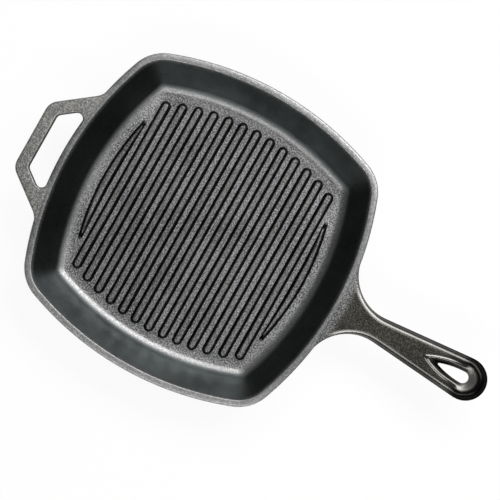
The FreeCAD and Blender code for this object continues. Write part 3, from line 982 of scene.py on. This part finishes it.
class Wire:
    def __init__(self, tree, socket=None):
        self.tree = tree
        self.socket = socket

    def node(self, kind, settings=None, sockets=None, out=0):
        made = self.tree.nodes.new(kind)
        for name, value in (settings or {}).items():
            setattr(made, name, value)
        for name, value in (sockets or {}).items():
            if isinstance(value, Wire):
                self.tree.links.new(value.socket, made.inputs[name])
            else:
                made.inputs[name].default_value = value
        return Wire(self.tree, made.outputs[out] if made.outputs else None)

    def math(self, operation, first, second):
        return self.node("ShaderNodeMath", {"operation": operation}, {0: first, 1: second})

    def __add__(self, other):
        return self.math("ADD", self, other)

    def __radd__(self, other):
        return self.math("ADD", other, self)

    def __sub__(self, other):
        return self.math("SUBTRACT", self, other)

    def __rsub__(self, other):
        return self.math("SUBTRACT", other, self)

    def __mul__(self, other):
        return self.math("MULTIPLY", self, other)

    def between(self, low, high):
        # 0 below low, 1 above high
        return self.node("ShaderNodeMapRange", {"clamp": True}, {0: self, 1: low, 2: high, 3: 0.0, 4: 1.0})


def newFinish(name):
    finish = bpy.data.materials.new(name)
    finish.use_nodes = True
    finish.node_tree.nodes.clear()
    return finish, Wire(finish.node_tree)


def seasonedIron(name, look):
    finish, tree = newFinish(name)
    place = tree.node("ShaderNodeTexCoord", out=3)

    def noise(size, detail, rough=0.5):
        return tree.node("ShaderNodeTexNoise", {}, {
            "Vector": place,
            "Scale": 1 / (size * mm),
            "Detail": detail,
            "Roughness": rough,
        })

    def mixed(share, first, second):
        return tree.node("ShaderNodeMix", {"data_type": "RGBA"}, {0: share, 6: first, 7: second}, out=2)

    def shaded(shade, share):
        return (*[value * share for value in shade], 1)

    def marked(name):
        return tree.node("ShaderNodeAttribute", {"attribute_name": name}, out=2)

    grains = noise(look["grain"], 1.0)
    fine = noise(look["grain"] * 0.5, 1.0)
    patches = noise(40.0, 3.0, 0.6)
    sandy = marked("sandy")
    worn = marked("worn")
    root = marked("root")

    # the grain stands out on sandy skin, and less where it is rubbed
    relief = grains * 0.65 + fine * 0.35
    bump = tree.node("ShaderNodeBump", {}, {
        "Strength": 1.0,
        "Distance": look["relief"] * mm,
        "Height": relief * (0.04 + sandy * 0.96) * (1 - worn * 0.85),
    })

    # sandy skin is light on the grains and dark between them, smooth skin has faint patches
    tone = patches.between(0.3, 0.7) * 0.2 + relief.between(0.44, 0.63) * 0.8
    tone = 0.4 + (tone - 0.4) * (1 - worn * 0.8)
    colour = mixed(tone, (*look["dark"], 1), (*look["light"], 1))
    # the root mark lightens rubbed iron on the rim and shelf, and also paints light: the floor's edge, the
    # foot of the wall and the handle's edges, crest and funnel are painted brighter
    colour = mixed(root, colour, mixed(tone, (*look["rootDark"], 1), (*look["rootLight"], 1)))
    smooth = mixed(patches.between(0.35, 0.65), shaded(look["smooth"], 0.75), shaded(look["smooth"], 1.25))
    smooth = mixed(root, smooth, shaded(look["smooth"], look["rubbedAndLit"]))
    # this mark darkens smooth iron: real blackening on the pan's outside, painted shade on its inner walls
    # and on the handle's end roll
    smooth = mixed(marked("sootAndShade"), smooth, shaded(look["smooth"], look["sootAndShadeLevel"]))
    colour = mixed(sandy, smooth, colour)
    rough = look["rough"] + (patches - 0.5) * 0.1
    rough = rough + sandy * (1 - worn) * look["sandRough"] + worn * look["wornRough"]
    surface = tree.node("ShaderNodeBsdfPrincipled", {}, {
        "Base Color": colour,
        "Metallic": look["metal"],
        "Specular Tint": (*look["edgeTint"], 1),
        "Roughness": rough,
        "Normal": bump,
    })
    tree.node("ShaderNodeOutputMaterial", {}, {"Surface": surface})
    return finish


def dress(piece, finish):
    piece.data.materials.clear()
    piece.data.materials.append(finish)


bowlLook = {
    "grain": 1.4,            # millimetres from one sand grain to the next
    "relief": 0.37,
    "dark": (0.045, 0.0455, 0.0465),
    "light": (0.47, 0.473, 0.477),
    "smooth": (0.26, 0.288, 0.292),
    "rubbedAndLit": 1.0,           # how much lighter smooth iron is where it is rubbed and where highlights are painted brighter,
    "sootAndShadeLevel": 0.15,           # and how dark where it is blackest, from soot and painted shade
    "rootDark": (0.1, 0.1, 0.1),
    "rootLight": (0.69, 0.69, 0.685),
    "metal": 1.0,
    "edgeTint": (0.7, 0.72, 0.72),
    "rough": 0.27,
    "sandRough": 0.2,        # how much rougher the sandy skin is
    "wornRough": 0.23,       # and the skin that is rubbed
}
ribLook = {
    **bowlLook,
    "relief": 0.34,
    "dark": (0.048, 0.0475, 0.046),
    "light": (0.395, 0.392, 0.383),
    # the smooth rib sides are painted near black, as painted shade between the ribs
    "smooth": (0.022, 0.022, 0.022),
}
handleLook = {
    **bowlLook,
    "grain": 1.3,
    "relief": 0.3,
    "dark": (0.023, 0.0215, 0.0185),
    "light": (0.098, 0.093, 0.081),
    "smooth": (0.096, 0.093, 0.088),
    # smooth iron is painted much lighter on the flare edges, the collar's crest and the funnel, as painted
    # highlights
    "rubbedAndLit": 2.4,
    "edgeTint": (0.25, 0.25, 0.25),
    "rootDark": (0.05, 0.05, 0.05),
    "rootLight": (0.34, 0.34, 0.338),
    "sandRough": 0.25,
    "wornRough": 0.2,
}
loopLook = {
    **bowlLook,
    "relief": 0.36,
    "sandRough": 0.25,
    "dark": (0.17, 0.168, 0.16),
    "light": (0.48, 0.477, 0.462),
    # the smooth edges of the loop are painted near black, as painted shade
    "smooth": (0.03, 0.03, 0.029),
}

dress(bowl, seasonedIron("bowlIron", bowlLook))
ribIron = seasonedIron("ribIron", ribLook)
for bar in ribs:
    dress(bar, ribIron)
dress(mainHandle, seasonedIron("handleIron", handleLook))
dress(helperLoop, seasonedIron("loopIron", loopLook))
print("finishes on", len(ribs) + 3, "pieces")

# table, lamps and camera

studio = {
    "eye": (43.7, 5.5, 1178.0),
    "turn": 29.4,
    "lens": 97.7,
    "lamps": [
        # bearing from the handle's side, metres out and up, width and height, watts
        (76.0, (1.08, 1.4), (1.5, 0.7), 31.0),
        (-71.0, (1.08, 1.4), (1.6, 0.5), 14.0),
    ],
    "room": 0.05,            # what the dim studio round the table gives
    "tableSize": 30.0,       # metres
    "backdropRadius": 14.0,
    "backdropHigh": 3.2,
    "tableGlow": 0.92,       # share of the table's white that lamps and shadows don't touch
}


def whitePaper():
    finish, tree = newFinish("tableWhite")
    paper = tree.node("ShaderNodeBsdfDiffuse", {}, {"Color": (0.92, 0.92, 0.92, 1)})
    glow = tree.node("ShaderNodeEmission", {}, {"Color": (1, 1, 1, 1), "Strength": 1.0})
    camera = tree.node("ShaderNodeLightPath", out=0)
    glossy = tree.node("ShaderNodeLightPath", out=3)
    through = tree.node("ShaderNodeLightPath", out=6)
    # the camera and the reflections in the iron see a white paper with faint shadows
    seen = (camera + glossy + through).between(0.0, 1.0) * studio["tableGlow"]
    shade = tree.node("ShaderNodeMixShader", {}, {0: seen, 1: paper, 2: glow})
    tree.node("ShaderNodeOutputMaterial", {}, {"Surface": shade})
    return finish


def makeTable(finish):
    bpy.ops.object.select_all(action="DESELECT")
    bpy.ops.mesh.primitive_plane_add(size=studio["tableSize"], location=(0, 0, -0.2 * mm))
    table = bpy.context.object
    table.name = "table"
    dress(table, finish)


def makeBackdrop(finish):
    # a low white wall round the table, for views from the side
    radius = studio["backdropRadius"]
    high = studio["backdropHigh"]
    bpy.ops.object.select_all(action="DESELECT")
    bpy.ops.mesh.primitive_cylinder_add(
        vertices=96, radius=radius, depth=high, end_fill_type="NOTHING", location=(0, 0, high / 2)
    )
    backdrop = bpy.context.object
    backdrop.name = "backdrop"
    bpy.ops.object.mode_set(mode="EDIT")
    bpy.ops.mesh.select_all(action="SELECT")
    bpy.ops.mesh.flip_normals()
    bpy.ops.object.mode_set(mode="OBJECT")
    dress(backdrop, finish)


def lightStudio():
    for bearing, (out, up), size, power in studio["lamps"]:
        turn = math.radians(bearing)
        place = (out * math.cos(turn), out * math.sin(turn), up)
        aim = (-math.atan2(out, up), 0, turn - math.pi / 2)
        bpy.ops.object.light_add(type="AREA", location=place, rotation=aim)
        lamp = bpy.context.object
        lamp.data.shape = "RECTANGLE"
        lamp.data.size = size[0]
        lamp.data.size_y = size[1]
        lamp.data.energy = power
    room = bpy.data.worlds.new("studioRoom")
    bpy.context.scene.world = room
    room.use_nodes = True
    room.node_tree.nodes.clear()
    tree = Wire(room.node_tree)
    shade = tree.node("ShaderNodeBackground", {}, {"Color": (1, 1, 1, 1), "Strength": studio["room"]})
    tree.node("ShaderNodeOutputWorld", {}, {"Surface": shade})


def placeCamera():
    bpy.ops.object.camera_add(location=[v * mm for v in studio["eye"]])
    camera = bpy.context.object
    camera.rotation_euler = (0, 0, math.radians(studio["turn"]))
    camera.data.lens = studio["lens"]
    camera.data.clip_start = 0.01
    bpy.context.scene.camera = camera
    bpy.context.scene.view_settings.view_transform = "Standard"


paper = whitePaper()
makeTable(paper)
makeBackdrop(paper)
lightStudio()
placeCamera()
print("studio set")
